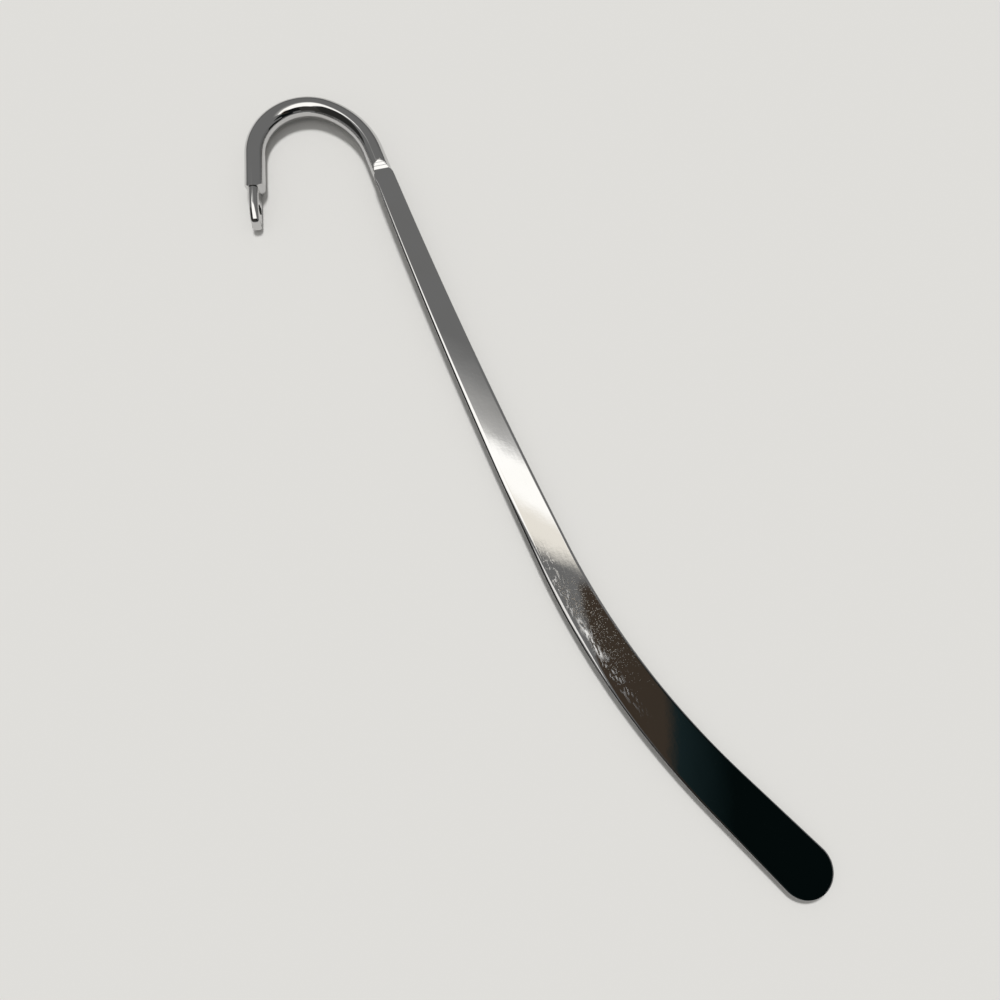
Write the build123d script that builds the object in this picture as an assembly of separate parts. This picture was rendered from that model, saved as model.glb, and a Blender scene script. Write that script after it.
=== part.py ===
from build123d import *

import math
import os

# Bookmark in the form of a shepherd's crook, formed from one round rod. Millimetres, +Z up.
# It lies flat: the stem runs along Y, the crook is at +Y and opens toward -X, the blade bends toward +X.
# The model is laid out from the shoulder, where the rod turns flat, and then moved to its box's bottom centre.

# Rod
rod_diameter = 2.8

# Crook: straight above the shoulder, an open bend, a tight bend and a straight leg
crook_straight = 2.25
open_bend_radius = 12.0
open_bend_angle = 48.5
tight_bend_radius = 7.2
tight_bend_angle = 115.0
leg_length = 4.8

# Neck: the press run-out on the top and the underside of the rod, after a short round land
neck_land = 0.3
neck_ramp = 1.3
neck_press_depth = 0.35

# Stem: flat, bowed on a large radius, its sides squared up in a short stretch below the neck
stem_length = 58.1
stem_square_length = 2.4
stem_bow_radius = 910.0
stem_end_width = 4.45
stem_end_thickness = 1.45

# Blade: bend, straight end and round tip
blade_bend_radius = 95.7
blade_bend_length = 34.0
blade_straight_length = 11.6
blade_end_width = 6.35
blade_end_thickness = 0.95

# A side's radius as a share of half the thickness, so that the sides stay a little fuller than flat
side_radius_share = 2.6

# Rounding where a side meets the flats, at the neck and past the squared stretch
neck_edge_radius = 0.05
edge_radius = 0.22

# Hanging eye: pressed thin across the rod, sloping down from just under the rod's top, and crowned toward the nose
eye_land = 0.2
eye_ramp = 0.8
eye_thickness = 1.3
eye_height = 2.4
eye_lift = 0.15
eye_root_drop = 0.07
eye_slope_length = 3.4
eye_crown_radius = 6.3
eye_crown_angle = 24.0
eye_corner_radius = 0.8
eye_nose_angle = 66.0
eye_heel_radius = 0.35
eye_edge_radius = 0.3
eye_hole_diameter = 1.3
eye_hole_distance = 3.9

# Stations along the flats, as shares of each stretch
stem_station_shares = (0, 0.25, 0.5, 0.75, 1)
blade_station_shares = (0, 0.15, 0.3, 0.45, 0.6, 0.75, 0.88, 1)

# How far cutting shapes run past what they cut
overrun = 2.0

rod_radius = rod_diameter / 2
neck_length = neck_land + neck_ramp
neck_thickness = rod_diameter - 2 * neck_press_depth
blade_length = blade_bend_length + blade_straight_length


def between(start, end, share):
    return start + (end - start) * share


def ahead(place, heading, distance):
    return (place[0] + distance * math.sin(heading), place[1] - distance * math.cos(heading))


def along_arc(place, heading, radius, distance):
    # Turns toward +X, seen from above, as the path runs from the shoulder to the tip
    turned = heading + distance / radius
    x = place[0] + radius * (math.cos(heading) - math.cos(turned))
    y = place[1] + radius * (math.sin(heading) - math.sin(turned))
    return (x, y), turned


def stem_place(distance):
    return along_arc((0, 0), 0, stem_bow_radius, distance)


def blade_place(distance):
    place, heading = stem_place(stem_length)
    place, heading = along_arc(place, heading, blade_bend_radius, min(distance, blade_bend_length))
    return ahead(place, heading, max(distance - blade_bend_length, 0)), heading


def section_plane(place, heading, height):
    across = (math.cos(heading), math.sin(heading), 0)
    onward = (math.sin(heading), -math.cos(heading), 0)
    return Plane(origin=(place[0], place[1], height), x_dir=across, z_dir=onward)


def slab_half(width, thickness, side_radius, corner_radius):
    # The right half of a section, from the middle of its underside to the middle of its top.
    # The side is an arc about a hub on the middle line, and a smaller arc rounds each corner into the flats.
    top = thickness / 2
    hub = width / 2 - side_radius
    corner_level = top - corner_radius
    corner_reach = side_radius - corner_radius
    corner = hub + math.sqrt(corner_reach**2 - corner_level**2)
    tilt = math.atan2(corner_level, corner - hub)
    side_x = hub + side_radius * math.cos(tilt)
    side_y = side_radius * math.sin(tilt)
    middle = (tilt + math.pi / 2) / 2
    bulge_x = corner + corner_radius * math.cos(middle)
    bulge_y = corner_level + corner_radius * math.sin(middle)
    return [
        Line((0, -top), (corner, -top)),
        ThreePointArc((corner, -top), (bulge_x, -bulge_y), (side_x, -side_y)),
        ThreePointArc((side_x, -side_y), (width / 2, 0), (side_x, side_y)),
        ThreePointArc((side_x, side_y), (bulge_x, bulge_y), (corner, top)),
        Line((corner, top), (0, top)),
    ]


def slab_section(plane, width, thickness, side_radius, corner_radius):
    half = slab_half(width, thickness, side_radius, corner_radius)
    return plane * Face(Wire(half + [edge.mirror(Plane.YZ) for edge in half]))


def stem_section(distance, side_radius, corner_radius):
    share = distance / stem_length
    place, heading = stem_place(distance)
    width = between(rod_diameter, stem_end_width, share)
    thickness = between(neck_thickness, stem_end_thickness, share)
    # The underside comes down from the neck's level and meets the table level with it
    underside = neck_press_depth * (1 - share) ** 2
    plane = section_plane(place, heading, underside + thickness / 2)
    return slab_section(plane, width, thickness, side_radius or side_radius_share * thickness / 2, corner_radius)


def make_stem():
    squared = []
    for share in stem_station_shares:
        distance = between(stem_square_length, stem_length, share)
        squared.append(stem_section(distance, 0, edge_radius))
    start = stem_section(0, rod_radius, neck_edge_radius)
    return loft([start, squared[0]]) + loft(squared)


def make_blade():
    sections = []
    for share in blade_station_shares:
        place, heading = blade_place(blade_length * share)
        width = between(stem_end_width, blade_end_width, share)
        thickness = between(stem_end_thickness, blade_end_thickness, share)
        plane = section_plane(place, heading, thickness / 2)
        sections.append(slab_section(plane, width, thickness, side_radius_share * thickness / 2, edge_radius))
    return loft(sections) + make_tip()


def make_tip():
    # Half of the blade's last section, turned half round about the upright line through its middle
    place, heading = blade_place(blade_length)
    plane = section_plane(place, heading, blade_end_thickness / 2)
    top = blade_end_thickness / 2
    half = slab_half(blade_end_width, blade_end_thickness, side_radius_share * top, edge_radius)
    outline = Wire(half + [Line((0, top), (0, -top))])
    middle = Axis((place[0], place[1], 0), (0, 0, 1))
    return revolve(plane * Face(outline), middle, -180)


def pressed_rod(land, ramp, gap):
    # A round rod along its own X. Past the land, two cuts slope in along its Z and leave the gap between them.
    length = land + ramp
    start = rod_radius + (rod_radius - gap / 2) * land / ramp
    wedge = Polygon((0, start), (length, gap / 2), (length, -gap / 2), (0, -start), align=None)
    rod = extrude(Plane.YZ * Circle(rod_radius), length)
    return rod & extrude(Plane.XZ * wedge, rod_diameter, both=True)


def make_neck():
    setting = Plane(origin=(0, neck_length, rod_radius), x_dir=(0, -1, 0), z_dir=(0, 0, 1))
    return setting.location * pressed_rod(neck_land, neck_ramp, neck_thickness)


def crook_path():
    start = (0, neck_length)
    bend_start = (0, neck_length + crook_straight)
    straight = Line(start, bend_start)
    open_bend = JernArc(bend_start, (0, 1), open_bend_radius, open_bend_angle)
    tight_bend = JernArc(open_bend @ 1, open_bend % 1, tight_bend_radius, tight_bend_angle)
    leg_start = tight_bend @ 1
    leg = Line(leg_start, leg_start + (tight_bend % 1) * leg_length)
    return Pos(0, 0, rod_radius) * Wire([straight, open_bend, tight_bend, leg])


def make_crook(path):
    section = Plane(origin=path @ 0, z_dir=path % 0) * Circle(rod_radius)
    return sweep(section, path)


def eye_outline():
    # The tab from its side: a sloping top, the crown, a steep nose, then round the heel to a level base
    root = rod_radius - eye_root_drop
    top = eye_lift + eye_height - rod_radius
    base = eye_lift - rod_radius
    nose_slope = math.radians(eye_nose_angle)
    crest = (eye_slope_length, top)
    back = Line((0, root), crest)
    back_slope = math.degrees(math.atan2(root - top, eye_slope_length))
    crown = JernArc(crest, back % 1, eye_crown_radius, back_slope - eye_crown_angle)
    corner = JernArc(crown @ 1, crown % 1, eye_corner_radius, eye_crown_angle - eye_nose_angle)
    brow = corner @ 1
    drop = brow.Y - base - eye_heel_radius * (1 + math.cos(nose_slope))
    nose = Line(brow, brow + Vector(drop / math.tan(nose_slope), -drop))
    heel = JernArc(nose @ 1, nose % 1, eye_heel_radius, eye_nose_angle - 180)
    return Wire([
        back, crown, corner, nose, heel,
        Line(heel @ 1, (0, base)), Line((0, base), (0, root)),
    ])


def make_hanging_eye(path):
    # Laid out along its own X, up its own Y and with its thickness along Z, then set on the end of the leg
    paddle = extrude(Pos(0, 0, -eye_thickness / 2) * Face(eye_outline()), eye_thickness, dir=(0, 0, 1))
    sides = paddle.faces().sort_by(Axis.Z)
    rims = (sides[0].edges() + sides[-1].edges()).filter_by(lambda edge: edge.center().X > 0)
    paddle = fillet(rims, eye_edge_radius)
    hole_place = (eye_hole_distance, eye_lift + eye_height / 2 - rod_radius)
    paddle -= Pos(*hole_place) * Cylinder(eye_hole_diameter / 2, eye_thickness + overrun)
    eye = paddle + pressed_rod(eye_land, eye_ramp, eye_thickness)
    onward = path % 1
    setting = Plane(origin=path @ 1, x_dir=onward, z_dir=onward.cross(Vector(0, 0, 1)))
    return setting.location * eye


def main():
    path = crook_path()
    pieces = {
        "hanging_eye": make_hanging_eye(path),
        "crook": make_crook(path),
        "neck": make_neck(),
        "stem": make_stem(),
        "blade": make_blade(),
    }
    box = Compound([solid for piece in pieces.values() for solid in piece.solids()]).bounding_box()
    to_origin = Pos(-box.center().X, -box.center().Y, -box.min.Z)
    os.makedirs("parts", exist_ok=True)
    for name, piece in pieces.items():
        export_step(to_origin * piece, f"parts/{name}.step")


main()
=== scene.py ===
import math

import bmesh
import bpy
from mathutils import Matrix, Vector


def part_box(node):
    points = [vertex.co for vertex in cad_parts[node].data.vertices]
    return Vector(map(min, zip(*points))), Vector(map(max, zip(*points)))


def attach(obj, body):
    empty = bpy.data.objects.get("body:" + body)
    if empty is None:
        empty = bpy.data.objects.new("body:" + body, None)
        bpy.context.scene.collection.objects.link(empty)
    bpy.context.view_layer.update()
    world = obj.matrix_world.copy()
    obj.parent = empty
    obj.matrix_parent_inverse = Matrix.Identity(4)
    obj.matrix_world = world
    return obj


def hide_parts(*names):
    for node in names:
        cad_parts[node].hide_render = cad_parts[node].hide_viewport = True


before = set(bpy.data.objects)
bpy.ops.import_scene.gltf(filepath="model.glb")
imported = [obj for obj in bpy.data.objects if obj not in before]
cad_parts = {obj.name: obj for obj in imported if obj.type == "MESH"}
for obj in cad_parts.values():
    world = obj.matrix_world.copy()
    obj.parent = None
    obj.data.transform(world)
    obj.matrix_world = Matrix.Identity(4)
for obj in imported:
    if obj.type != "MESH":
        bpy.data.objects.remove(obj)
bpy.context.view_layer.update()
print("frame loaded:", sorted(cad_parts))

scene = bpy.context.scene
scene.view_settings.view_transform = "Standard"

upward = Vector((0, 0, 1))
quarterTurn = math.radians(90)

# the shoulder, where the rod turns flat, is the place that the pieces are laid out from
neckLow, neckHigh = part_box("neck")
rodRadius = (neckHigh.x - neckLow.x) / 2
shoulder = Vector(((neckLow.x + neckHigh.x) / 2, neckLow.y, 0))
rodSides = 72  # flats round the rod
rodCrease = math.radians(45)  # edges of the rod that turn more than this are sharp
mergeDistance = 1e-7  # points nearer than this are one point


# shader graphs: a socket that takes part in sums, and one method for every other node
class Wire:
    def __init__(self, tree, socket=None):
        self.tree = tree
        self.socket = socket

    def node(self, kind, settings, sockets, output=0):
        made = self.tree.nodes.new(kind)
        for name, value in settings.items():
            if name == "stops":
                setStops(made.color_ramp, value)
            else:
                setattr(made, name, value)
        for name, value in sockets.items():
            if isinstance(value, Wire):
                self.tree.links.new(value.socket, made.inputs[name])
            else:
                made.inputs[name].default_value = value
        return Wire(self.tree, made.outputs[output]) if made.outputs else made

    def maths(self, operation, first, second):
        return self.node("ShaderNodeMath", {"operation": operation}, {0: first, 1: second})

    def __add__(self, other):
        return self.maths("ADD", self, other)

    def __radd__(self, other):
        return self.maths("ADD", other, self)

    def __sub__(self, other):
        return self.maths("SUBTRACT", self, other)

    def __rsub__(self, other):
        return self.maths("SUBTRACT", other, self)

    def __mul__(self, other):
        return self.maths("MULTIPLY", self, other)

    def __rmul__(self, other):
        return self.maths("MULTIPLY", other, self)

    def __pow__(self, other):
        return self.maths("POWER", self, other)


def setStops(ramp, stops):
    while len(ramp.elements) < len(stops):
        ramp.elements.new(1)
    for element, (position, colour) in zip(ramp.elements, stops):
        element.position = position
        element.color = colour


def smoothStep(value, low, high):
    return value.node(
        "ShaderNodeMapRange",
        {"interpolation_type": "SMOOTHSTEP"},
        {"Value": value, "From Min": low, "From Max": high, "To Min": 0, "To Max": 1},
    )


def mixColour(factor, first, second):
    # 6 and 7 are the Mix node's colour inputs, and 2 is its colour output
    return factor.node("ShaderNodeMix", {"data_type": "RGBA"}, {0: factor, 6: first, 7: second}, 2)


def noise(graph, place, scale, detail):
    return graph.node("ShaderNodeTexNoise", {}, {"Vector": place, "Scale": scale, "Detail": detail})


def spread(graph, place, turn, scale):
    sockets = {"Vector": place, "Rotation": (0, 0, turn), "Scale": scale}
    return graph.node("ShaderNodeMapping", {"vector_type": "POINT"}, sockets)


def newMaterial(name):
    material = bpy.data.materials.new(name)
    material.use_nodes = True
    material.node_tree.nodes.clear()
    return material, Wire(material.node_tree)


# worn patch where the flat bends: specks and scratches at the left margin, and a painted highlight: one
# white streak and whitened scratches painted in to stand for glints
wearAndPaintedGlint = {
    # distances down the stem from the middle of the part, each a soft run
    "start": (0.011, 0.02),
    "end": (0.026, 0.037),
    "glintStart": (0.0214, 0.0228),
    "glintEnd": (0.0266, 0.028),
    # distances from the centre of the bend, larger toward the left margin
    "bendCentre": shoulder + Vector((0.0974, -0.0519, 0)),
    "across": (0.0933, 0.0971),
    "margin": (0.0959, 0.0968),
    "marginEnd": (0.0971, 0.0976),
    "glintReach": 0.0969,
    "glintWidth": 0.00045,
    # marks
    "rightShare": 0.68,
    "speckScale": 8400,
    "speckGrowth": 1.6,
    "speckEdge": 0.2,
    "speckShare": 0.52,
    "strayShare": 0.004,
    "speckRoughness": 0.3,
    "speckHeight": 1.3,
    "speckColour": (0.66, 0.6, 0.52, 1),
    "heading": math.radians(14),
    "scratchScale": (4200, 1100, 4200),
    "scratchDetail": 3,
    "scratchLevel": (0.56, 0.62),
    "scratchRoughness": 0.3,
    "scratchHeight": 1.2,
    "paintedGlintOnScratch": 0.36,
    # painted highlight: a white, less metallic colour painted on the streak, and in part on the scratches,
    # to stand for glints
    "glintLevel": (0.4, 0.5),
    "paintedGlintColour": (0.95, 0.94, 0.92, 1),
    "paintedGlintOnStreak": 1,
}


def wornMarksAndPaintedGlint(graph, place):
    down = -1 * graph.node("ShaderNodeSeparateXYZ", {}, {"Vector": place}, "Y")
    patch = smoothStep(down, *wearAndPaintedGlint["start"]) * (1 - smoothStep(down, *wearAndPaintedGlint["end"]))
    toCentre = {0: place, 1: wearAndPaintedGlint["bendCentre"]}
    fromCentre = graph.node("ShaderNodeVectorMath", {"operation": "DISTANCE"}, toCentre, "Value")
    inside = 1 - smoothStep(fromCentre, *wearAndPaintedGlint["marginEnd"])

    cell = {"Vector": place, "Scale": wearAndPaintedGlint["speckScale"]}
    fromSpeck = graph.node("ShaderNodeTexVoronoi", {}, cell, "Distance")
    chance = graph.node("ShaderNodeTexVoronoi", {}, cell, "Color")
    chance = graph.node("ShaderNodeSeparateColor", {}, {"Color": chance}, "Red")
    leftward = smoothStep(fromCentre, *wearAndPaintedGlint["across"])
    worn = patch * inside * (wearAndPaintedGlint["rightShare"] + (1 - wearAndPaintedGlint["rightShare"]) * leftward)
    size = chance + wearAndPaintedGlint["speckShare"] * worn + wearAndPaintedGlint["strayShare"] - 1
    speck = smoothStep(wearAndPaintedGlint["speckGrowth"] * size - fromSpeck, 0, wearAndPaintedGlint["speckEdge"])

    lines = spread(graph, place, -wearAndPaintedGlint["heading"], wearAndPaintedGlint["scratchScale"])
    lines = noise(graph, lines, 1, wearAndPaintedGlint["scratchDetail"])
    margin = smoothStep(fromCentre, *wearAndPaintedGlint["margin"]) * inside
    scratch = smoothStep(lines, *wearAndPaintedGlint["scratchLevel"]) * patch * margin

    # painted highlight: a white streak beside the left margin, shaped like a glint
    fromGlintStreak = graph.maths("ABSOLUTE", fromCentre - wearAndPaintedGlint["glintReach"], 0)
    glintStreak = smoothStep(down, *wearAndPaintedGlint["glintStart"]) * (1 - smoothStep(down, *wearAndPaintedGlint["glintEnd"]))
    glintStreak = glintStreak * (1 - smoothStep(fromGlintStreak, 0, wearAndPaintedGlint["glintWidth"]))
    glintStreak = glintStreak * smoothStep(lines, *wearAndPaintedGlint["glintLevel"])
    # mask of the painted highlight: full on the streak, partial on the scratches
    paintedGlint = graph.maths("MAXIMUM", wearAndPaintedGlint["paintedGlintOnStreak"] * glintStreak, wearAndPaintedGlint["paintedGlintOnScratch"] * scratch)
    return speck, scratch, paintedGlint


# bright plate over polished metal, with hairlines along it
platingLook = {
    "colour": (0.62, 0.62, 0.63, 1),
    "dull": (0.575, 0.57, 0.56, 1),
    "dullScale": 170,
    "dullDetail": 3,
    "roughness": 0.035,
    "rippleScale": 260,
    "rippleDetail": 1,
    "peelScale": 2200,
    "peelDetail": 2,
    "peelShare": 0.12,
    "bumpDistance": 1.2e-5,  # height of the relief for a value of 1
    "hairScale": (5200, 90, 5200),
    "hairDetail": 2,
    "hairLevel": (0.62, 0.72),
    "hairRoughness": 0.05,
}


def platingMaterial():
    look = platingLook
    material, graph = newMaterial("plating")
    place = graph.node("ShaderNodeTexCoord", {}, {}, "Object")
    speck, scratch, paintedGlint = wornMarksAndPaintedGlint(graph, place)
    ripple = noise(graph, place, look["rippleScale"], look["rippleDetail"])
    peel = noise(graph, place, look["peelScale"], look["peelDetail"])
    hair = noise(graph, spread(graph, place, 0, look["hairScale"]), 1, look["hairDetail"])
    hair = smoothStep(hair, *look["hairLevel"])
    roughness = look["roughness"] + look["hairRoughness"] * hair
    roughness = roughness + wearAndPaintedGlint["speckRoughness"] * speck + wearAndPaintedGlint["scratchRoughness"] * scratch
    height = ripple + look["peelShare"] * peel
    height = height + wearAndPaintedGlint["speckHeight"] * speck + wearAndPaintedGlint["scratchHeight"] * scratch
    relief = {"Height": height, "Distance": look["bumpDistance"], "Strength": 1}
    bump = graph.node("ShaderNodeBump", {}, relief)

    dull = noise(graph, place, look["dullScale"], look["dullDetail"])
    colour = mixColour(dull, look["colour"], look["dull"])
    colour = mixColour(speck, colour, wearAndPaintedGlint["speckColour"])
    # painted highlight: white colour and less metal where its mask is, standing in for glints
    colour = mixColour(paintedGlint, colour, wearAndPaintedGlint["paintedGlintColour"])
    shader = graph.node(
        "ShaderNodeBsdfPrincipled",
        {},
        {"Base Color": colour, "Metallic": 1 - paintedGlint, "Roughness": roughness, "Normal": bump},
    )
    graph.node("ShaderNodeOutputMaterial", {}, {"Surface": shader})
    return material


plating = platingMaterial()
print("plating made")


# meshes
def vertsIn(parts):
    return [part for part in parts if isinstance(part, bmesh.types.BMVert)]


def edgesIn(parts):
    return [part for part in parts if isinstance(part, bmesh.types.BMEdge)]


def facesIn(parts):
    return [part for part in parts if isinstance(part, bmesh.types.BMFace)]


def vertsOf(edges):
    return list({vert for edge in edges for vert in edge.verts})


def openEdges(bm):
    return [edge for edge in bm.edges if len(edge.link_faces) < 2]


def bordersOf(bm, faces):
    return [edge for edge in bm.edges if len([face for face in edge.link_faces if face in faces]) == 1]


def creases(bm, limit):
    return [edge for edge in bm.edges if len(edge.link_faces) == 2 and edge.calc_face_angle() > limit]


def markSharp(edges):
    for edge in edges:
        edge.smooth = False


def finishPiece(bm, name, node):
    bmesh.ops.remove_doubles(bm, verts=bm.verts, dist=mergeDistance)
    bmesh.ops.recalc_face_normals(bm, faces=bm.faces)
    mesh = bpy.data.meshes.new(name)
    bm.to_mesh(mesh)
    bm.free()
    mesh.shade_smooth()
    piece = bpy.data.objects.new(name, mesh)
    scene.collection.objects.link(piece)
    mesh.materials.append(plating)
    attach(piece, "root")
    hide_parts(node)
    print("made", name, "with", len(mesh.polygons), "faces")


# round rod of the crook
crook = {
    "straight": 0.00225,
    "openRadius": 0.012,
    "openAngle": math.radians(48.5),
    "tightRadius": 0.0072,
    "tightAngle": math.radians(115),
    "leg": 0.0048,
    "stepAngle": math.radians(1.5),
}


def pushRing(bm, ring, offset):
    grown = bmesh.ops.extrude_edge_only(bm, edges=ring)["geom"]
    newVerts = vertsIn(grown)
    bmesh.ops.translate(bm, verts=newVerts, vec=offset)
    return [edge for edge in edgesIn(grown) if set(edge.verts) <= set(newVerts)]


def bendRing(bm, ring, centre, angle):
    steps = math.ceil(angle / crook["stepAngle"])
    geom = ring + vertsOf(ring)
    spun = bmesh.ops.spin(bm, geom=geom, cent=centre, axis=upward, angle=angle, steps=steps)
    return edgesIn(spun["geom_last"])


def makeCrook():
    bm = bmesh.new()
    start = Vector((shoulder.x, neckHigh.y, rodRadius))
    setting = Matrix.Translation(start) @ Matrix.Rotation(quarterTurn, 4, "X")
    bmesh.ops.create_circle(bm, segments=rodSides, radius=rodRadius, matrix=setting)
    heading = Vector((0, 1, 0))
    ring = pushRing(bm, bm.edges[:], heading * crook["straight"])
    place = start + heading * crook["straight"]
    for radius, angle in (("openRadius", "openAngle"), ("tightRadius", "tightAngle")):
        centre = place + upward.cross(heading) * crook[radius]
        ring = bendRing(bm, ring, centre, crook[angle])
        turn = Matrix.Rotation(crook[angle], 3, "Z")
        place = centre + turn @ (place - centre)
        heading = turn @ heading
    pushRing(bm, ring, heading * crook["leg"])
    rims = openEdges(bm)
    bmesh.ops.holes_fill(bm, edges=rims)
    markSharp(rims)
    finishPiece(bm, "crookRod", "crook")
    return place + heading * crook["leg"], heading


legEnd, legHeading = makeCrook()

# long flats: tight corners, each with a brim and a rolled margin beside it; the worn ones are on the left
flats = {
    "sideShare": 40,  # a side's radius as a share of half the thickness
    "sideSteps": 12,
    "edgeRadius": 0.00008,
    "neckEdgeRadius": 0.00003,
    "cornerSteps": 6,
    "rollRadius": 0.0009,
    "wornRadius": 0.0007,
    "neckRollRadius": 0.00004,
    "rollAngle": math.radians(17),
    "rollSteps": 7,
    "brimRadius": 0.0002,
    "wornBrim": 0.0006,
    "brimAngle": math.radians(38),
    "brimSteps": 6,
}


def between(start, end, share):
    return start + (end - start) * share


def eased(share):
    return share * share * (3 - 2 * share)  # smooth step


def alongArc(place, heading, radius, distance):
    turned = heading + distance / radius
    step = Vector((math.cos(heading) - math.cos(turned), math.sin(heading) - math.sin(turned), 0))
    return place + radius * step, turned


def sectionFrame(place, heading, height):
    # its X is across the flat, its Y is up and its Z is onward to the tip
    across = Vector((math.cos(heading), math.sin(heading), 0))
    onward = Vector((math.sin(heading), -math.cos(heading), 0))
    turn = Matrix((across, upward, onward)).transposed().to_4x4()
    return Matrix.Translation(place + upward * height) @ turn


def arcOn(bm, vert, centre, angle, steps):
    # carries an outline on from its last point, about a centre
    spun = bmesh.ops.spin(bm, geom=[vert], cent=centre, axis=upward, angle=angle, steps=steps)
    return vertsIn(spun["geom_last"])[0]


def slabSide(bm, width, thickness, sideRadius, cornerRadius, rollRadius, brimRadius):
    # the side's arc, then on either hand a tight corner, a brim and a margin that rolls over into the flat
    roll, brim = flats["rollAngle"], flats["brimAngle"]
    hub = width / 2 - sideRadius
    brimLevel = thickness / 2 - rollRadius + (rollRadius - brimRadius) * math.cos(roll)
    level = brimLevel + (brimRadius - cornerRadius) * math.cos(brim)
    corner = hub + math.sqrt((sideRadius - cornerRadius) ** 2 - level**2)
    tilt = math.atan2(level, corner - hub)
    brimCentre = corner - (brimRadius - cornerRadius) * math.sin(brim)
    margin = brimCentre - (rollRadius - brimRadius) * math.sin(roll)
    turn = quarterTurn - brim - tilt
    last = bm.verts.new((margin, -thickness / 2, 0))
    last = arcOn(bm, last, (margin, rollRadius - thickness / 2, 0), roll, flats["rollSteps"])
    last = arcOn(bm, last, (brimCentre, -brimLevel, 0), brim - roll, flats["brimSteps"])
    last = arcOn(bm, last, (corner, -level, 0), turn, flats["cornerSteps"])
    last = arcOn(bm, last, (hub, 0, 0), 2 * tilt, flats["sideSteps"])
    last = arcOn(bm, last, (corner, level, 0), turn, flats["cornerSteps"])
    last = arcOn(bm, last, (brimCentre, brimLevel, 0), brim - roll, flats["brimSteps"])
    arcOn(bm, last, (margin, thickness / 2 - rollRadius, 0), roll, flats["rollSteps"])


def slabRing(bm, setting, width, thickness, sideRadius, cornerRadius, left, right):
    # left and right each hold the margin's roll radius and the brim's radius
    oldEdges = set(bm.edges)
    slabSide(bm, width, thickness, sideRadius, cornerRadius, *left)
    leftVerts = vertsOf([edge for edge in bm.edges if edge not in oldEdges])
    bmesh.ops.scale(bm, verts=leftVerts, vec=(-1, 1, 1))
    slabSide(bm, width, thickness, sideRadius, cornerRadius, *right)
    sides = [edge for edge in bm.edges if edge not in oldEdges]
    ends = [vert for vert in vertsOf(sides) if len(vert.link_edges) == 1]
    joined = []
    for half in (-1, 1):
        pair = [vert for vert in ends if vert.co.y * half > 0]
        joined += bmesh.ops.contextual_create(bm, geom=pair)["edges"]
    for vert in vertsIn(bmesh.ops.subdivide_edges(bm, edges=joined, cuts=1)["geom_inner"]):
        vert.co.x = 0
    ring = [edge for edge in bm.edges if edge not in oldEdges]
    for edge in ring:
        # a seam marks an edge on one of the flats
        edge.seam = min(abs(vert.co.y) for vert in edge.verts) > thickness / 2 - mergeDistance
    bmesh.ops.transform(bm, matrix=setting, verts=vertsOf(ring))
    return ring


def stackRings(bm, rings):
    for lower, upper in zip(rings, rings[1:]):
        bmesh.ops.bridge_loops(bm, edges=lower + upper)


def closeFlat(bm):
    # caps the open ends, and keeps the flats mirror flat up to their margins
    bmesh.ops.remove_doubles(bm, verts=bm.verts, dist=mergeDistance)
    level = {face for face in bm.faces if len([edge for edge in face.edges if edge.seam]) == 2}
    borders = bordersOf(bm, level)
    caps = openEdges(bm)
    bmesh.ops.holes_fill(bm, edges=caps)
    markSharp(caps + [edge for edge in borders if not edge.seam])


# neck: facets cut the round rod down to the stem, a little askew, with two fine ledges
neck = {
    "pressDepth": 0.00035,
    "skew": math.radians(-9),
    "roundShare": 0.9995,
    "dip": 0.00012,
    # share of the neck's length, share of the pressed depth, share of the skew
    "stations": (
        (0, 0, 0),
        (0.14, 0, 1),
        (0.32, 0.26, 1),
        (0.35, 0.273, 1),
        (0.57, 0.62, 1),
        (0.61, 0.633, 1),
        (0.85, 1, 1),
        (1, 1, 0),
    ),
}


def makeNeck():
    bm = bmesh.new()
    length = neckHigh.y - neckLow.y
    corner = flats["neckEdgeRadius"]
    margins = (flats["neckRollRadius"], flats["neckRollRadius"])
    rings = []
    for share, pressed, skewed in neck["stations"]:
        place = shoulder + Vector((0, length * (1 - share), 0))
        depth = (neck["pressDepth"] + neck["dip"]) * pressed
        half = min(rodRadius * neck["roundShare"], rodRadius - depth)
        skew = neck["skew"] * skewed
        stretch = Matrix.Diagonal((1 / math.cos(skew), 1, 1, 1))
        setting = sectionFrame(place, skew, rodRadius) @ stretch
        rings.append(slabRing(bm, setting, 2 * rodRadius, 2 * half, rodRadius, corner, margins, margins))
    stackRings(bm, rings)
    closeFlat(bm)
    markSharp([edge for edge in bm.edges if edge.seam])
    finishPiece(bm, "neckPress", "neck")


# stem: bowed, its sides squared up below the neck
stem = {
    "length": 0.0581,
    "squareLength": 0.0024,
    "squareRings": 8,
    "dipLength": 0.004,
    "bowRadius": 0.91,
    "endWidth": 0.00445,
    "endThickness": 0.00145,
    "rings": 32,
}


def stemStations():
    count = stem["squareRings"]
    squared = [stem["squareLength"] * index / count for index in range(count)]
    last = stem["rings"] - 1
    plain = [between(stem["squareLength"], stem["length"], index / last) for index in range(stem["rings"])]
    return squared + plain


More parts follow.
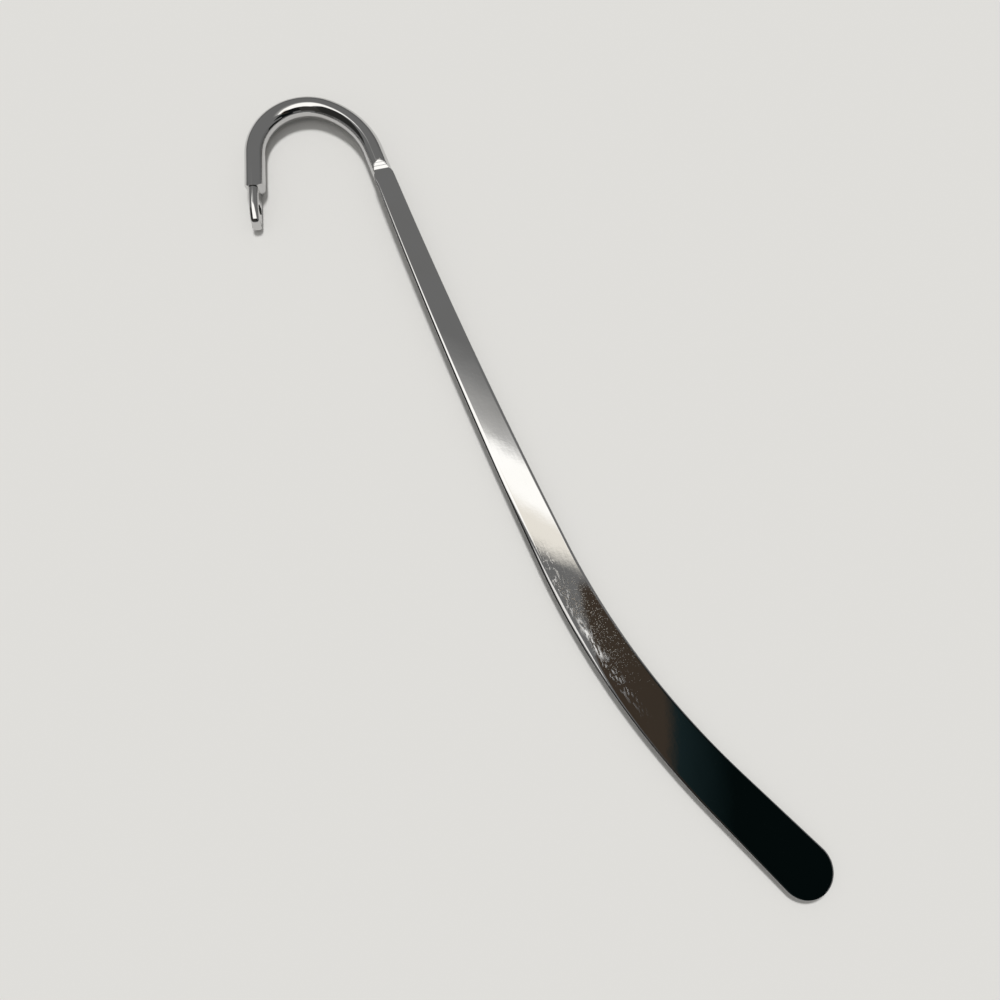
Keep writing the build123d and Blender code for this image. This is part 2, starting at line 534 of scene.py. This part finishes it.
def makeStem():
    bm = bmesh.new()
    rings = []
    for distance in stemStations():
        share = distance / stem["length"]
        square = eased(min(distance / stem["squareLength"], 1))
        place, heading = alongArc(shoulder, 0, stem["bowRadius"], distance)
        width = between(2 * rodRadius, stem["endWidth"], share)
        thickness = between(2 * (rodRadius - neck["pressDepth"]), stem["endThickness"], share)
        sideRadius = between(rodRadius, flats["sideShare"] * thickness / 2, square)
        cornerRadius = between(flats["neckEdgeRadius"], flats["edgeRadius"], square)
        worn = between(flats["wornRadius"], blade["wornRadius"], share**2)
        start = flats["neckRollRadius"]
        left = [between(start, radius, square) for radius in (worn, flats["wornBrim"])]
        right = [between(start, radius, square) for radius in (flats["rollRadius"], flats["brimRadius"])]
        underside = neck["pressDepth"] * (1 - share) ** 2
        setting = sectionFrame(place, heading, underside + thickness / 2)
        thickness -= 2 * neck["dip"] * (1 - eased(min(distance / stem["dipLength"], 1)))
        rings.append(slabRing(bm, setting, width, thickness, sideRadius, cornerRadius, left, right))
    stackRings(bm, rings)
    closeFlat(bm)
    finishPiece(bm, "stemFlat", "stem")


# blade: bend, straight end and round tip
blade = {
    "bendRadius": 0.0957,
    "bendLength": 0.034,
    "straightLength": 0.0116,
    "endWidth": 0.00635,
    "endThickness": 0.00095,
    "rollRadius": 0.0004,
    "wornRadius": 0.0017,
    "wornLength": 0.01,
    "wornFade": 0.009,
    "rings": 36,
    "tipSteps": 60,
}


def bladePlace(distance):
    place, heading = alongArc(shoulder, 0, stem["bowRadius"], stem["length"])
    place, heading = alongArc(place, heading, blade["bendRadius"], min(distance, blade["bendLength"]))
    onward = Vector((math.sin(heading), -math.cos(heading), 0))
    return place + onward * max(distance - blade["bendLength"], 0), heading


def makeBlade():
    bm = bmesh.new()
    length = blade["bendLength"] + blade["straightLength"]
    corner = flats["edgeRadius"]
    rings = []
    for index in range(blade["rings"]):
        share = index / (blade["rings"] - 1)
        place, heading = bladePlace(length * share)
        width = between(stem["endWidth"], blade["endWidth"], share)
        thickness = between(stem["endThickness"], blade["endThickness"], share)
        setting = sectionFrame(place, heading, thickness / 2)
        sideRadius = flats["sideShare"] * thickness / 2
        faded = eased(min(max(length * share - blade["wornLength"], 0) / blade["wornFade"], 1))
        roll = between(flats["rollRadius"], blade["rollRadius"], share)
        right = (roll, flats["brimRadius"])
        brim = between(flats["wornBrim"], flats["brimRadius"], faded)
        left = (between(blade["wornRadius"], roll, faded), brim)
        rings.append(slabRing(bm, setting, width, thickness, sideRadius, corner, left, right))
    stackRings(bm, rings)
    # the tip is the right half of the last section, spun half round about its upright middle
    across = Vector((math.cos(heading), math.sin(heading), 0))
    rightHalf = []
    for edge in rings[-1]:
        if min((vert.co - place).dot(across) for vert in edge.verts) > -mergeDistance:
            rightHalf.append(edge)
    geom = rightHalf + vertsOf(rightHalf)
    bmesh.ops.spin(bm, geom=geom, cent=place, axis=upward, angle=-math.pi, steps=blade["tipSteps"])
    closeFlat(bm)
    finishPiece(bm, "bladeFlat", "blade")


makeNeck()
makeStem()
makeBlade()

# pressed and pierced end
eye = {
    "land": 0.0002,
    "ramp": 0.0008,
    "thickness": 0.0013,
    "height": 0.0024,
    "lift": 0.00015,
    "rootDrop": 0.00007,
    "slopeLength": 0.0034,
    "crownRadius": 0.0063,
    "crownAngle": math.radians(24),
    "crownSteps": 14,
    "cornerRadius": 0.0008,
    "cornerSteps": 10,
    "noseAngle": math.radians(66),
    "heelRadius": 0.00035,
    "heelSteps": 14,
    "edgeRadius": 0.0005,
    "edgeSegments": 6,
    "rimAngle": math.radians(60),  # a rim turns more than this
    "rimFacing": 0.9,  # and lies on a face that looks sideways this squarely
    "sharpAngle": math.radians(40),  # edges that turn more than this are sharp
    "flatFacing": 0.999,  # a flat side looks sideways this squarely
    "holeRadius": 0.00065,
    "holeDistance": 0.0039,
    "holeSides": 56,
    "holeEdge": 0.00008,
}


def bendOn(bm, vert, heading, radius, angle, steps):
    # carries an outline on along its heading, and turns right for a negative angle
    sideways = Vector((-math.sin(heading), math.cos(heading), 0))
    return arcOn(bm, vert, vert.co + math.copysign(radius, angle) * sideways, angle, steps)


def lineOn(bm, vert, place):
    end = bm.verts.new(place)
    bmesh.ops.contextual_create(bm, geom=[vert, end])
    return end


def eyeOutline(bm):
    # the tab from its side: sloping top, crown, steep nose, heel and level base
    rootLevel = rodRadius - eye["rootDrop"]
    top = eye["lift"] + eye["height"] - rodRadius
    base = eye["lift"] - rodRadius
    back = math.atan2(rootLevel - top, eye["slopeLength"])
    crown, nose = eye["crownAngle"], eye["noseAngle"]
    root = bm.verts.new((0, rootLevel, 0))
    crest = lineOn(bm, root, (eye["slopeLength"], top, 0))
    brow = bendOn(bm, crest, -back, eye["crownRadius"], back - crown, eye["crownSteps"])
    brow = bendOn(bm, brow, -crown, eye["cornerRadius"], crown - nose, eye["cornerSteps"])
    drop = brow.co.y - base - eye["heelRadius"] * (1 + math.cos(nose))
    noseEnd = lineOn(bm, brow, brow.co + Vector((drop / math.tan(nose), -drop, 0)))
    heel = bendOn(bm, noseEnd, -nose, eye["heelRadius"], nose - math.pi, eye["heelSteps"])
    foot = lineOn(bm, heel, (0, base, 0))
    bmesh.ops.contextual_create(bm, geom=[foot, root])


def eyeRims(bm, holePlace):
    # the rims of the tab's two sides, and those of the hole
    outer, inner = [], []
    for edge in creases(bm, eye["rimAngle"]):
        middle = (edge.verts[0].co + edge.verts[1].co) / 2
        onSide = any(abs(face.normal.z) > eye["rimFacing"] for face in edge.link_faces)
        fromHole = Vector((middle.x, middle.y, 0)) - holePlace
        if onSide and middle.x > mergeDistance:
            rims = inner if fromHole.length < eye["holeRadius"] + mergeDistance else outer
            rims.append(edge)
    return outer, inner


def roundRims(bm, rims, offset):
    bmesh.ops.bevel(
        bm,
        geom=[edge for edge in rims if edge.is_valid],
        offset=offset,
        offset_type="OFFSET",
        segments=eye["edgeSegments"],
        profile=0.5,
        affect="EDGES",
        material=-1,
    )


def pressedRod(bm, land, ramp, gap):
    # the round rod along X, with two cuts that slope in along Z past the land
    length = land + ramp
    turn = Matrix.Rotation(quarterTurn, 4, "Y")
    ring = bmesh.ops.create_circle(bm, cap_ends=True, segments=rodSides, radius=rodRadius, matrix=turn)
    disc = ring["verts"][0].link_faces[0]
    farEnd = vertsIn(bmesh.ops.extrude_face_region(bm, geom=[disc], use_keep_orig=True)["geom"])
    bmesh.ops.translate(bm, verts=farEnd, vec=(length, 0, 0))
    markSharp(creases(bm, rodCrease))
    verts = set(ring["verts"]) | set(farEnd)
    for side in (1, -1):
        edges = {edge for vert in verts for edge in vert.link_edges}
        faces = {face for edge in edges for face in edge.link_faces}
        cut = bmesh.ops.bisect_plane(
            bm,
            geom=list(verts) + list(edges) + list(faces),
            plane_co=(length, 0, side * gap / 2),
            plane_no=(rodRadius - gap / 2, 0, side * ramp),
            clear_outer=True,
        )
        cutEdges = edgesIn(cut["geom_cut"])
        bmesh.ops.edgeloop_fill(bm, edges=cutEdges)
        markSharp(cutEdges)
        verts = {vert for vert in verts if vert.is_valid} | set(vertsOf(cutEdges))


def makeEye():
    bm = bmesh.new()
    eyeOutline(bm)
    holePlace = Vector((eye["holeDistance"], eye["lift"] + eye["height"] / 2 - rodRadius, 0))
    hole = Matrix.Translation(holePlace)
    bmesh.ops.create_circle(bm, segments=eye["holeSides"], radius=eye["holeRadius"], matrix=hole)
    filled = bmesh.ops.triangle_fill(bm, edges=bm.edges[:], use_beauty=True, normal=upward)["geom"]
    bmesh.ops.translate(bm, verts=bm.verts, vec=(0, 0, -eye["thickness"] / 2))
    grown = bmesh.ops.extrude_face_region(bm, geom=facesIn(filled), use_keep_orig=True)["geom"]
    bmesh.ops.translate(bm, verts=vertsIn(grown), vec=(0, 0, eye["thickness"]))
    bmesh.ops.recalc_face_normals(bm, faces=bm.faces)
    outer, inner = eyeRims(bm, holePlace)
    roundRims(bm, outer, eye["edgeRadius"])
    roundRims(bm, inner, eye["holeEdge"])
    bmesh.ops.recalc_face_normals(bm, faces=bm.faces)
    markSharp(creases(bm, eye["sharpAngle"]))
    markSharp(bordersOf(bm, {face for face in bm.faces if abs(face.normal.z) > eye["flatFacing"]}))
    pressedRod(bm, eye["land"], eye["ramp"], eye["thickness"])
    across = legHeading.cross(upward)
    turn = Matrix((legHeading, upward, across)).transposed().to_4x4()
    bmesh.ops.transform(bm, matrix=Matrix.Translation(legEnd) @ turn, verts=bm.verts)
    finishPiece(bm, "eyePaddle", "hanging_eye")


makeEye()

# camera at the photograph's place
view = {
    "place": shoulder + Vector((-0.00914, -0.06798, 0.08939)),
    "aim": shoulder + Vector((-0.00169, -0.04897, 0)),
    "lens": 26,
    "sensor": 36,
    "clipStart": 0.001,
}
camera = bpy.data.objects.new("camera", bpy.data.cameras.new("camera"))
scene.collection.objects.link(camera)
camera.location = view["place"]
camera.rotation_euler = (view["aim"] - view["place"]).to_track_quat("-Z", "Y").to_euler()
camera.data.lens = view["lens"]
camera.data.sensor_width = view["sensor"]
camera.data.clip_start = view["clipStart"]
scene.camera = camera
print("camera placed")

# directions on the table as the camera sees them, and the place below it
far = Vector((view["aim"].x - view["place"].x, view["aim"].y - view["place"].y, 0)).normalized()
right = far.cross(upward)
foot = Vector((view["place"].x, view["place"].y, 0))


# stage
def stagePlane(name, width, depth, material, centre, alongX, alongY):
    bm = bmesh.new()
    bmesh.ops.create_grid(bm, x_segments=1, y_segments=1, size=width / 2)
    bmesh.ops.scale(bm, verts=bm.verts, vec=(1, depth / width, 1))
    mesh = bpy.data.meshes.new(name)
    bm.to_mesh(mesh)
    bm.free()
    plane = bpy.data.objects.new(name, mesh)
    scene.collection.objects.link(plane)
    turn = Matrix((alongX, alongY, alongX.cross(alongY))).transposed().to_4x4()
    plane.matrix_world = Matrix.Translation(centre) @ turn
    mesh.materials.append(material)
    return plane


def studioCard(name, width, depth, material, centre, alongX, alongY):
    # a card that only the polished metal sees
    card = stagePlane(name, width, depth, material, centre, alongX, alongY)
    card.visible_camera = False
    card.visible_diffuse = False
    card.visible_transmission = False
    card.visible_shadow = False


def hangCard(name, card, material):
    # level, over a place given to the right of the camera's foot and beyond it
    centre = foot + right * card["centre"][0] + far * card["centre"][1] + upward * card["height"]
    studioCard(name, *card["size"], material, centre, right, far)


def cardPlace(graph, card):
    place = graph.node("ShaderNodeTexCoord", {}, {}, "Object")
    x, y = [graph.node("ShaderNodeSeparateXYZ", {}, {"Vector": place}, axis) for axis in "XY"]
    return x + card["centre"][0], y + card["centre"][1]


def glowing(material, graph, colour, cover):
    # emission where it covers, and clear elsewhere
    light = graph.node("ShaderNodeEmission", {}, {"Color": colour})
    clear = graph.node("ShaderNodeBsdfTransparent", {}, {})
    shader = graph.node("ShaderNodeMixShader", {}, {0: cover, 1: clear, 2: light})
    graph.node("ShaderNodeOutputMaterial", {}, {"Surface": shader})
    return material


def plainCard(name, colour):
    material, graph = newMaterial(name)
    shader = graph.node("ShaderNodeEmission", {}, {"Color": colour})
    graph.node("ShaderNodeOutputMaterial", {}, {"Surface": shader})
    return material


# pale table, a hair below the part
table = {"size": 6, "drop": 0.00002, "colour": (0.8, 0.79, 0.765, 1)}


def tableMaterial():
    material, graph = newMaterial("table")
    shader = graph.node("ShaderNodeBsdfDiffuse", {}, {"Color": table["colour"]})
    graph.node("ShaderNodeOutputMaterial", {}, {"Surface": shader})
    return material


stagePlane("tabletop", table["size"], table["size"], tableMaterial(), -table["drop"] * upward, right, far)

# low white diffuser: a slanting far edge with a glow past it, warmer at its near side, ends at the left
diffuser = {
    "height": 0.11,
    "centre": (0.02, 0.07),
    "size": (0.24, 0.2),
    "slope": 0.62,
    "bendAt": -0.028,
    "bendSlope": 0.25,
    "reach": 0.0585,
    "edge": 0.0055,
    "glowReach": 0.0244,
    "glowShare": 0.42,
    "glowPower": 1.7,
    "leftEnd": -0.082,
    "leftSlope": 0.22,
    "leftSoftness": 0.006,
    "rightEnd": 0.03,
    "rightSoftness": 0.004,
    "nearEnd": 0.031,
    "nearSoftness": 0.0062,
    "nearPeak": 0.008,
    "nearRight": 0.46,
    "nearLeft": 1.1,
    "nearRun": 0.01,
    "white": (1.68, 1.66, 1.6, 1),
    "cream": (1.3, 1.24, 1.12, 1),
    "creamReach": 0.049,
    "creamSoftness": 0.006,
    "creamLeft": -0.012,
    "creamSide": 0.012,
}


def diffuserMaterial():
    card = diffuser
    material, graph = newMaterial("diffuser")
    x, y = cardPlace(graph, card)
    past = y + card["slope"] * x + card["bendSlope"] * graph.maths("MINIMUM", x - card["bendAt"], 0)
    window = smoothStep(card["reach"] + card["edge"] / 2 - past, 0, card["edge"])
    toGlowEnd = card["reach"] + card["glowReach"] - past
    glow = graph.node("ShaderNodeMapRange", {}, {"Value": toGlowEnd, "From Max": card["glowReach"]})
    lit = card["glowShare"] * glow ** card["glowPower"] + (1 - card["glowShare"]) * window
    fromLeft = x + card["leftSlope"] * (y - card["centre"][1]) - card["leftEnd"]
    lit = lit * smoothStep(fromLeft, 0, card["leftSoftness"])
    lit = lit * smoothStep(card["rightEnd"] - x, 0, card["rightSoftness"])
    fromPeak = x - card["nearPeak"]
    leftward = graph.maths("MAXIMUM", graph.maths("MINIMUM", fromPeak, 0), -card["nearRun"])
    fromNear = y + card["nearRight"] * graph.maths("MAXIMUM", fromPeak, 0) - card["nearLeft"] * leftward
    fromNear = fromNear - card["nearEnd"] + card["nearSoftness"] / 2
    lit = lit * smoothStep(fromNear, 0, card["nearSoftness"])
    warm = smoothStep(card["creamReach"] - past, 0, card["creamSoftness"])
    warm = warm * smoothStep(x, card["creamLeft"], card["creamLeft"] + card["creamSide"])
    return glowing(material, graph, mixColour(warm, card["white"], card["cream"]), lit)


hangCard("diffuser", diffuser, diffuserMaterial())

# low dark flag over the near right, with a straight left side
flag = {
    "height": 0.092,
    "centre": (0.06, -0.065),
    "size": (0.1, 0.19),
    "side": 0.02,
    "sideAt": 0.0188,
    "sideSlope": 0.21,
    "sideSoftness": 0.002,
    "reach": 0.018,
    "softness": 0.005,
    "bands": (
        (0.017, (0.071, 0.052, 0.037, 1)),
        (0.0405, (0.062, 0.047, 0.034, 1)),
        (0.0435, (0.012, 0.024, 0.026, 1)),
        (0.056, (0.002, 0.005, 0.005, 1)),
    ),
}


def flagMaterial():
    material, graph = newMaterial("flag")
    x, y = cardPlace(graph, flag)
    width = flag["size"][0]
    leftEnd = flag["centre"][0] - width / 2
    fromSide = x + flag["sideSlope"] * (y - flag["sideAt"]) - flag["side"] + flag["sideSoftness"] / 2
    fromEnd = flag["reach"] - y + flag["softness"] / 2
    cover = smoothStep(fromSide, 0, flag["sideSoftness"]) * smoothStep(fromEnd, 0, flag["softness"])
    stops = [((place - leftEnd) / width, colour) for place, colour in flag["bands"]]
    dark = graph.node("ShaderNodeValToRGB", {"stops": stops}, {"Fac": (x - leftEnd) * (1 / width)})
    return glowing(material, graph, dark, cover)


hangCard("flag", flag, flagMaterial())

# high cards: a white fill over the near left, and a black canopy behind the camera
fill = {
    "height": 0.59,
    "centre": (-0.165, -0.085),
    "size": (0.19, 0.13),
    "colour": (1.3, 1.28, 1.24, 1),
}
canopy = {
    "height": 0.585,
    "centre": (0.05, -0.21),
    "size": (0.5, 0.08),
    "colour": (0.008, 0.009, 0.009, 1),
}
for name, card in (("fill", fill), ("canopy", canopy)):
    hangCard(name, card, plainCard(name, card["colour"]))

# studio round about: a grey ceiling and grey walls
room = {
    "height": 0.6,
    "size": 3,
    "ceilingGrey": (0.222, 0.222, 0.219, 1),
    "wallGrey": (0.18, 0.18, 0.177, 1),
    "wallReach": 1.49,
}
ceilingGrey = plainCard("ceiling", room["ceilingGrey"])
studioCard("ceiling", room["size"], room["size"], ceilingGrey, foot + upward * room["height"], right, far)
wallGrey = plainCard("wall", room["wallGrey"])
for name, outward in (("farWall", far), ("leftWall", -right), ("rightWall", right), ("nearWall", -far)):
    centre = foot + outward * room["wallReach"] + upward * room["height"] / 2
    studioCard(name, room["size"], room["height"], wallGrey, centre, outward.cross(upward), upward)

# dark upright screens at the left and behind the camera: ends on the table, and the span of heights
screens = {
    "leftScreen": {
        "ends": ((-0.33, 0.16), (-0.33, -0.45)),
        "span": (0.08, 0.58),
        "colour": (0.035, 0.035, 0.033, 1),
    },
    "nearLeft": {
        "ends": ((-0.55, -0.25), (-0.03, -0.25)),
        "span": (0.1, 0.58),
        "colour": (0.06, 0.057, 0.052, 1),
    },
    "nearMiddle": {
        "ends": ((-0.03, -0.25), (0.08, -0.25)),
        "span": (0.16, 0.58),
        "colour": (0.012, 0.013, 0.013, 1),
    },
    "nearRight": {
        "ends": ((0.08, -0.25), (0.3, -0.25)),
        "span": (0.06, 0.58),
        "colour": (0.012, 0.013, 0.013, 1),
    },
    "rightLow": {
        "ends": ((0.3, -0.25), (0.45, 0.03)),
        "span": (0, 0.13),
        "colour": (0.012, 0.013, 0.013, 1),
    },
}
for name, screen in screens.items():
    start, end = [right * place[0] + far * place[1] for place in screen["ends"]]
    low, high = screen["span"]
    middle = foot + (start + end) / 2 + upward * (low + high) / 2
    along = (end - start).normalized()
    dark = plainCard(name, screen["colour"])
    studioCard(name, (end - start).length, high - low, dark, middle, along, upward)

# the world is a pale backdrop, and lights the table less than it shows
sky = {"shown": (0.8, 0.8, 0.79, 1), "lighting": (0.36, 0.36, 0.355, 1)}


def makeSky():
    world = bpy.data.worlds.new("studio")
    scene.world = world
    world.use_nodes = True
    world.node_tree.nodes.clear()
    graph = Wire(world.node_tree)
    seen = graph.node("ShaderNodeLightPath", {}, {}, "Is Camera Ray")
    seen = seen + graph.node("ShaderNodeLightPath", {}, {}, "Is Glossy Ray")
    seen = seen + graph.node("ShaderNodeLightPath", {}, {}, "Is Transmission Ray")
    colour = mixColour(seen, sky["lighting"], sky["shown"])
    backdrop = graph.node("ShaderNodeBackground", {}, {"Color": colour})
    graph.node("ShaderNodeOutputWorld", {}, {"Surface": backdrop})


makeSky()

# key light from the far side, wide enough for soft shadow edges
key = {"strength": 2.1, "angle": math.radians(11), "lean": math.radians(32)}
lamp = bpy.data.objects.new("keyLamp", bpy.data.lights.new("keyLamp", "SUN"))
lamp.data.energy = key["strength"]
lamp.data.angle = key["angle"]
lampTurn = Matrix((right, upward.cross(right), upward)).transposed() @ Matrix.Rotation(-key["lean"], 3, "X")
lamp.rotation_euler = lampTurn.to_euler()
lamp.location = foot + far + upward
lamp.visible_glossy = False
scene.collection.objects.link(lamp)
print("stage set")

bpy.context.view_layer.update()
